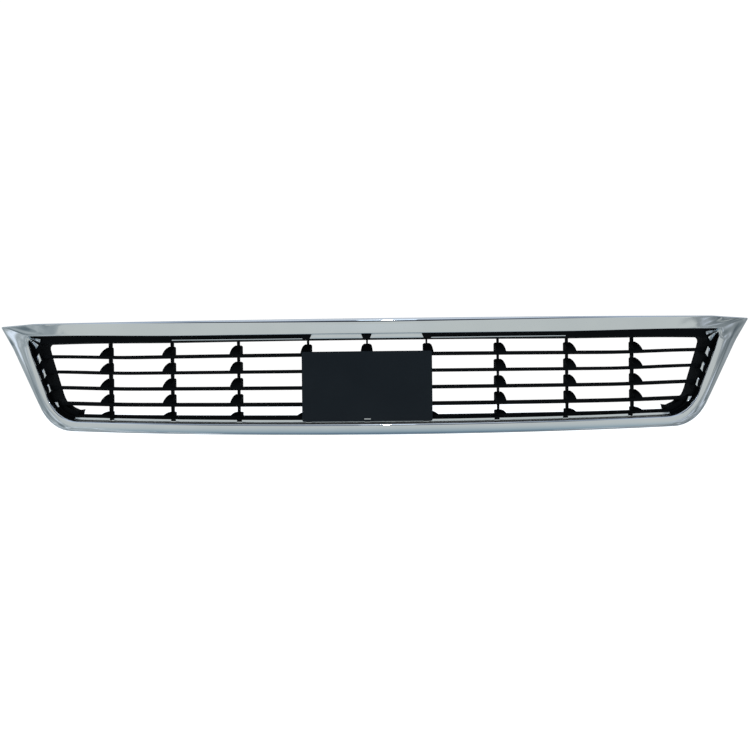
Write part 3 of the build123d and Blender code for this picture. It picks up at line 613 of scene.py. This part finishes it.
# %% Cover
def cover():
    """Bent plate with a pry slot, and its four studs."""
    bm = bmesh.new()
    middle = Vector((0, (COVER_FRONT + COVER_BACK) / 2, -15.45))
    size = (175.0, COVER_BACK - COVER_FRONT, 94.0)
    bmesh.ops.create_cube(bm, size=1.0, matrix=Matrix.LocRotScale(middle, None, size))
    corners = [e for e in bm.edges if abs(e.verts[0].co.y - e.verts[1].co.y) > 1]
    bmesh.ops.bevel(bm, geom=corners, offset=2.5, offset_type="OFFSET", segments=5, profile=0.5,
                    affect="EDGES", material=-1)
    rims = [e for e in bm.edges if abs(e.verts[0].co.y - e.verts[1].co.y) < 0.1]
    bmesh.ops.bevel(bm, geom=rims, offset=0.7, offset_type="OFFSET", segments=3, profile=0.5,
                    affect="EDGES", material=-1)
    for spot, way in (((5, 0, 0), (1, 0, 0)), ((-5, 0, 0), (1, 0, 0)), ((0, 0, PRY_Z + 0.8), (0, 0, 1)),
                      ((0, 0, PRY_Z - 0.8), (0, 0, 1))):
        geom = bm.verts[:] + bm.edges[:] + bm.faces[:]
        bmesh.ops.bisect_plane(bm, geom=geom, plane_co=spot, plane_no=way)
    slot = [f for f in bm.faces if abs(f.normal.y) > 0.9 and abs(f.calc_center_median().x) < 4
            and abs(f.calc_center_median().z - PRY_Z) < 0.5]
    rims = list({e for f in slot for e in f.edges})
    bmesh.ops.delete(bm, geom=slot, context="FACES_ONLY")
    bmesh.ops.bridge_loops(bm, edges=rims)
    slice_across(bm, 6.0)
    bend(bm)
    start = face_y(STUD_X, middle.y)
    for side in (-1, 1):
        for upper, lower in STUD_ROWS:
            rod(bm, side * STUD_X, (SLAT_Z[upper] + SLAT_Z[lower]) / 2, 2.4, start, start + 22, rim=0.9)
    return bm


plate = piece("cover_plate", cover(), "cover", "centre_cover", sharp=40.0)

# %% [markdown]
# ## Foam seals
# Two strips of closed-cell foam lie along the duct's roof and floor. Foam has no sharp edges: each strip
# keeps its seat flat, while its free side is rounded and rises and falls a little along its length.

# %% Seals
def seal(end, low, free):
    """A soft strip between -end and end; free is 1 when its upper side is free, and -1 when its lower is."""
    bm = bmesh.new()
    box(bm, (-end, end), (29.0, 38.0), (low, low + 6.5), 1.6, 4)
    slice_across(bm, 7.0)
    for v in bm.verts:
        out = max(0.0, free * (v.co.z - low - 3.25) / 3.25)
        v.co.z -= free * out * (0.35 + 0.3 * math.sin(v.co.x * 0.09) * math.cos(v.co.x * 0.031))
    bend(bm)
    return bm


upper_foam = piece("upper_foam", seal(435.4, ROOF_Z + 2.6, 1), "grille", "upper_seal_strip",
                   sharp=60.0)
lower_foam = piece("lower_foam", seal(397.0, FLOOR_Z - 9.1, -1), "grille", "lower_seal_strip",
                   sharp=60.0)

# %% [markdown]
# ## Shared surface effects
# Plating, moulded plastic, steel and foam all vary a little over their surface. Two node groups make
# that: one gives a slow mottle with fine grain, the other scattered specks of dust. Each material sets
# their sizes and picks its own colours from their outputs.

# %% Node groups
def group(name, inputs, outputs):
    """A shader node group with the given value inputs and outputs."""
    made = bpy.data.node_groups.new(name, "ShaderNodeTree")
    for label, value in inputs.items():
        made.interface.new_socket(label, in_out="INPUT", socket_type="NodeSocketFloat").default_value = value
    for label in outputs:
        made.interface.new_socket(label, in_out="OUTPUT", socket_type="NodeSocketFloat")
    return made, made.nodes.new("NodeGroupInput"), made.nodes.new("NodeGroupOutput")


def node(tree, kind, links=(), **values):
    """Add a node, set its properties and unlinked inputs, and link the rest."""
    made = tree.nodes.new(kind)
    for key, value in values.items():
        setattr(made, key, value)
    for name, source in links:
        if isinstance(source, (int, float, tuple)):
            made.inputs[name].default_value = source
        else:
            tree.links.new(source, made.inputs[name])
    return made


def spread(tree, source, start, end, low=0.0, high=1.0):
    """Carry a value from the range start to end over to the range low to high."""
    made = node(tree, "ShaderNodeMapRange", [("Value", source), ("From Min", start), ("From Max", end),
                                             ("To Min", low), ("To Max", high)])
    return made.outputs["Result"]


def maths(tree, operation, *values):
    """One sum or product of values."""
    return node(tree, "ShaderNodeMath", list(enumerate(values)), operation=operation).outputs[0]


def mixed(tree, factor, first, second):
    """Two colours mixed by a factor."""
    made = node(tree, "ShaderNodeMix", data_type="RGBA")
    for socket, source in ((0, factor), (6, first), (7, second)):
        if isinstance(source, tuple):
            made.inputs[socket].default_value = source
        else:
            tree.links.new(source, made.inputs[socket])
    return made.outputs[2]


def ramp(tree, source, stops):
    """Colours by value: each stop is a place from 0 to 1 and a colour."""
    made = node(tree, "ShaderNodeValToRGB", [("Fac", source)])
    marks = made.color_ramp.elements
    for mark, (at, colour) in zip(marks, (stops[0], stops[-1])):
        mark.position, mark.color = at, (*colour, 1)
    for at, colour in stops[1:-1]:
        marks.new(at).color = (*colour, 1)
    return made.outputs["Color"]


def make_mottle():
    """Slow variation and fine grain, both from 0 to 1."""
    tree, given, result = group("mottle and grain", {"Mottle Scale": 12.0, "Grain Scale": 1500.0},
                                ("Mottle", "Grain"))
    place = tree.nodes.new("ShaderNodeTexCoord").outputs["Object"]
    slow = node(tree, "ShaderNodeTexNoise", [("Vector", place), ("Scale", given.outputs["Mottle Scale"]),
                                             ("Detail", 3.0)])
    fine = node(tree, "ShaderNodeTexNoise", [("Vector", place), ("Scale", given.outputs["Grain Scale"]),
                                             ("Detail", 2.0)])
    tree.links.new(slow.outputs["Fac"], result.inputs["Mottle"])
    tree.links.new(fine.outputs["Fac"], result.inputs["Grain"])
    return tree


def make_specks():
    """Scattered dust specks, 1 inside a speck."""
    tree, given, result = group("dust specks", {"Speck Scale": 300.0, "Speck Size": 0.12}, ("Specks",))
    place = tree.nodes.new("ShaderNodeTexCoord").outputs["Object"]
    cells = node(tree, "ShaderNodeTexVoronoi", [("Vector", place), ("Scale", given.outputs["Speck Scale"])])
    near = node(tree, "ShaderNodeMath", [(0, given.outputs["Speck Size"]), (1, cells.outputs["Distance"])],
                operation="GREATER_THAN")
    patchy = node(tree, "ShaderNodeTexNoise", [("Vector", place), ("Scale", 9.0)])
    where = node(tree, "ShaderNodeMath", [(0, patchy.outputs["Fac"]), (1, 0.56)], operation="GREATER_THAN")
    both = node(tree, "ShaderNodeMath", [(0, near.outputs[0]), (1, where.outputs[0])], operation="MULTIPLY")
    tree.links.new(both.outputs[0], result.inputs["Specks"])
    return tree


MOTTLE, SPECKS = make_mottle(), make_specks()
print("node groups", MOTTLE.name, "and", SPECKS.name)

# %% [markdown]
# ## Finishes
# Bright plating is a metal with very low roughness: what gives it life is the room it mirrors, so its
# own colour varies only faintly. The black plastic is dull with a fine grain, and the cover is smoother
# and slightly blue. Each recipe names two colours, a roughness range, a grain depth and its metalness.

# %% One recipe for every finish
DUST_GREY = (0.35, 0.34, 0.32, 1)


def finish(name, dark, light, rough, grain, metal=0.0, specular=0.5, mottle_scale=12.0, grain_scale=1500.0,
           dust=0.0, wave=0.0):
    """A material whose colour and roughness drift between two values, with grain and dust."""
    made = bpy.data.materials.new(name)
    made.use_nodes = True
    tree = made.node_tree
    shader = tree.nodes["Principled BSDF"]
    shader.inputs["Metallic"].default_value = metal
    shader.inputs["Specular IOR Level"].default_value = specular
    base = node(tree, "ShaderNodeGroup", node_tree=MOTTLE)
    base.inputs["Mottle Scale"].default_value = mottle_scale
    base.inputs["Grain Scale"].default_value = grain_scale
    dots = node(tree, "ShaderNodeGroup", node_tree=SPECKS)
    tint = mixed(tree, spread(tree, base.outputs["Mottle"], 0.3, 0.7), (*dark, 1), (*light, 1))
    speck = maths(tree, "MULTIPLY", dots.outputs["Specks"], dust)
    tree.links.new(mixed(tree, speck, tint, DUST_GREY), shader.inputs["Base Color"])
    gloss = spread(tree, base.outputs["Grain"], 0.3, 0.7, *rough)
    tree.links.new(gloss, shader.inputs["Roughness"])
    bump = node(tree, "ShaderNodeBump", [("Height", base.outputs["Grain"]), ("Strength", 1.0),
                                         ("Distance", grain)])
    if wave:
        swell = node(tree, "ShaderNodeBump", [("Height", base.outputs["Mottle"]), ("Strength", 1.0),
                                              ("Distance", wave)])
        tree.links.new(swell.outputs["Normal"], bump.inputs["Normal"])
    tree.links.new(bump.outputs["Normal"], shader.inputs["Normal"])
    return made


plating = finish("bright plating", (0.86, 0.875, 0.885), (0.92, 0.93, 0.935), (0.035, 0.06), 0.0000005,
                 metal=1.0, mottle_scale=14.0, grain_scale=900.0, dust=0.02, wave=0.00006)
black_plastic = finish("black moulded plastic", (0.0028, 0.0035, 0.0043), (0.0046, 0.0054, 0.0063),
                       (0.58, 0.74), 0.00002, specular=0.04, grain_scale=1400.0, dust=0.02)
satin = finish("satin blue-black cover", (0.0064, 0.0106, 0.0150), (0.0082, 0.0130, 0.0174),
               (0.42, 0.52), 0.00003, specular=0.14, mottle_scale=18.0, grain_scale=1100.0, dust=0.015)
nylon = finish("natural nylon", (0.55, 0.53, 0.47), (0.64, 0.62, 0.56), (0.4, 0.5), 0.00002, dust=0.05)
zinc = finish("zinc plated steel", (0.42, 0.43, 0.44), (0.6, 0.6, 0.59), (0.25, 0.42), 0.00001, metal=1.0,
              mottle_scale=160.0, dust=0.06)
spring = finish("phosphated spring steel", (0.05, 0.05, 0.055), (0.09, 0.09, 0.09), (0.38, 0.55), 0.00001,
                metal=0.8, specular=0.4, mottle_scale=120.0)
foam = finish("closed-cell foam", (0.012, 0.012, 0.013), (0.028, 0.028, 0.028), (0.85, 0.97), 0.0003,
              specular=0.2, mottle_scale=60.0, grain_scale=700.0, dust=0.1)

# %% Dress every piece
DRESS = {"chrome_plating": plating, "black_moulding": black_plastic, "cover_satin": satin, "nylon": nylon,
         "zinc_sheet": zinc, "zinc_steel": zinc, "spring_steel": spring, "seal_foam": foam}
for made, finish_of in ((surround, plating), (insert, black_plastic), (plate, satin), (upper_foam, foam),
                        (lower_foam, foam)):
    made.data.materials.append(finish_of)
for part in frame["record"]["subparts"]:
    cad = frame["nodes"][part["node"]]
    cad.data.materials.clear()
    cad.data.materials.append(DRESS[part["material_slot"]])

# %% [markdown]
# ## Room, lights and floor
# Plating shows nothing but its surroundings, so the room matters most. The world is a soft gradient: a
# grey wall in front, a narrow dark gap above it, a blue-grey ceiling, and a cool darker floor below. To
# the sides the wall breaks up into windows and shelves, which is what ripples in the tips.

# %% World
def room():
    """Procedural surroundings; the camera itself sees plain white."""
    world = bpy.data.worlds.new("studio")
    world.use_nodes = True
    tree = world.node_tree
    tree.nodes.clear()
    way = tree.nodes.new("ShaderNodeTexCoord").outputs["Generated"]
    across, along, up = node(tree, "ShaderNodeSeparateXYZ", [("Vector", way)]).outputs
    stops = ((-0.95, (0.10, 0.17, 0.24)), (-0.6, (0.30, 0.39, 0.45)), (-0.22, (0.46, 0.52, 0.54)),
             (0.02, (0.52, 0.555, 0.555)), (0.36, (0.51, 0.555, 0.555)), (0.46, (0.60, 0.68, 0.78)),
             (0.80, (0.34, 0.42, 0.54)), (1.0, (0.46, 0.52, 0.60)))
    height = spread(tree, up, -1.0, 1.0)
    walls = ramp(tree, height, [((at + 1) / 2, colour) for at, colour in stops])
    bearing = maths(tree, "ARCTAN2", across, maths(tree, "MULTIPLY", along, -1.0))
    aside = maths(tree, "ABSOLUTE", bearing)
    gap = maths(tree, "MULTIPLY", spread(tree, up, 0.42, 0.45), spread(tree, up, 0.75, 0.79, 1.0, 0.0))
    dark = maths(tree, "MULTIPLY", gap, spread(tree, aside, 0.85, 0.98, 1.0, 0.0))
    gapped = mixed(tree, dark, walls, (0.02, 0.022, 0.03, 1))
    patches = node(tree, "ShaderNodeTexNoise", [("Vector", way), ("Scale", 4.0), ("Detail", 3.0),
                                                ("Distortion", 2.2)]).outputs["Fac"]
    shelves = ramp(tree, patches, ((0.36, (0.10, 0.13, 0.15)), (0.47, (0.24, 0.28, 0.30)),
                                   (0.56, (0.32, 0.36, 0.38)), (0.66, (0.62, 0.70, 0.80))))
    flank = spread(tree, maths(tree, "MULTIPLY_ADD", patches, 0.7, aside), 1.47, 1.51)
    side_light = spread(tree, across, -0.8, 0.8, 1.25, 0.85)
    shaded = node(tree, "ShaderNodeVectorMath", [("Vector", shelves), ("Scale", side_light)],
                  operation="SCALE").outputs[0]
    wall = maths(tree, "MULTIPLY", flank, spread(tree, up, 0.5, 0.65, 1.0, 0.0))
    mirrored = node(tree, "ShaderNodeBackground", [("Color", mixed(tree, wall, gapped, shaded)),
                                                   ("Strength", 1.0)])
    plain = node(tree, "ShaderNodeBackground", [("Color", (1.0, 1.0, 1.0, 1.0)), ("Strength", 1.05)])
    seen = tree.nodes.new("ShaderNodeLightPath").outputs["Is Camera Ray"]
    choose = node(tree, "ShaderNodeMixShader", [(0, seen)])
    tree.links.new(mirrored.outputs[0], choose.inputs[1])
    tree.links.new(plain.outputs[0], choose.inputs[2])
    out = tree.nodes.new("ShaderNodeOutputWorld")
    tree.links.new(choose.outputs[0], out.inputs["Surface"])
    bpy.context.scene.world = world


room()
bpy.context.scene.view_settings.view_transform = "Standard"


# %% Lamps and floor
def lamp(name, place, aim, size, watts):
    """Soft square lamp."""
    data = bpy.data.lights.new(name, "AREA")
    data.shape, data.size, data.energy = "SQUARE", size, watts
    made = bpy.data.objects.new(name, data)
    made.location = place
    made.rotation_euler = (Vector(aim) - Vector(place)).to_track_quat("-Z", "Y").to_euler()
    bpy.context.scene.collection.objects.link(made)
    return made


lamp("small front lamp", (0.06, -0.92, 1.31), (0, 0, 0), 0.06, 0.6)
lamp("glow round it", (0.06, -0.93, 1.32), (0, 0, 0), 0.34, 0.42).data.color = (0.72, 0.86, 1.0)
lamp("ceiling panel", (0, 0.1, 2.2), (0, 0, 0), 2.2, 2.5)

FLOOR_LEVEL = -0.32
floor_mesh = bmesh.new()
bmesh.ops.create_circle(floor_mesh, cap_ends=True, segments=96, radius=6.0,
                        matrix=Matrix.Translation((0, 0, FLOOR_LEVEL)))
floor_data = bpy.data.meshes.new("floor")
floor_mesh.to_mesh(floor_data)
floor_mesh.free()
floor = bpy.data.objects.new("floor", floor_data)
bpy.context.scene.collection.objects.link(floor)
pale = finish("pale floor", (0.90, 0.90, 0.90), (0.93, 0.93, 0.93), (0.8, 0.9), 0.0001,
              specular=0.1, mottle_scale=2.0)
glow = pale.node_tree.nodes["Principled BSDF"].inputs
glow["Emission Color"].default_value = (1, 1, 1, 1)
glow["Emission Strength"].default_value = 0.9
floor.data.materials.append(pale)
floor.visible_glossy = False

# %% [markdown]
# ## Camera
# The camera stands a little over a metre in front, almost level with the grille and slightly right of
# its middle, turned by a degree or two. A normal lens keeps the sweep of the ends natural.

# %% Camera
view_data = bpy.data.cameras.new("camera")
view_data.lens, view_data.sensor_width = 36.0, 36.0
camera = bpy.data.objects.new("camera", view_data)
turn, nod, tilt = math.radians(1.6), math.radians(-0.36), math.radians(0.61)
aim = Matrix.Rotation(turn, 4, "Z") @ Matrix.Rotation(nod, 4, "X") @ Matrix.Rotation(tilt, 4, "Y")
stand = Matrix.Translation((0.0390, -1.0732, 0.0058))
camera.matrix_world = stand @ aim @ Matrix.Rotation(math.pi / 2, 4, "X")
bpy.context.scene.collection.objects.link(camera)
bpy.context.scene.camera = camera
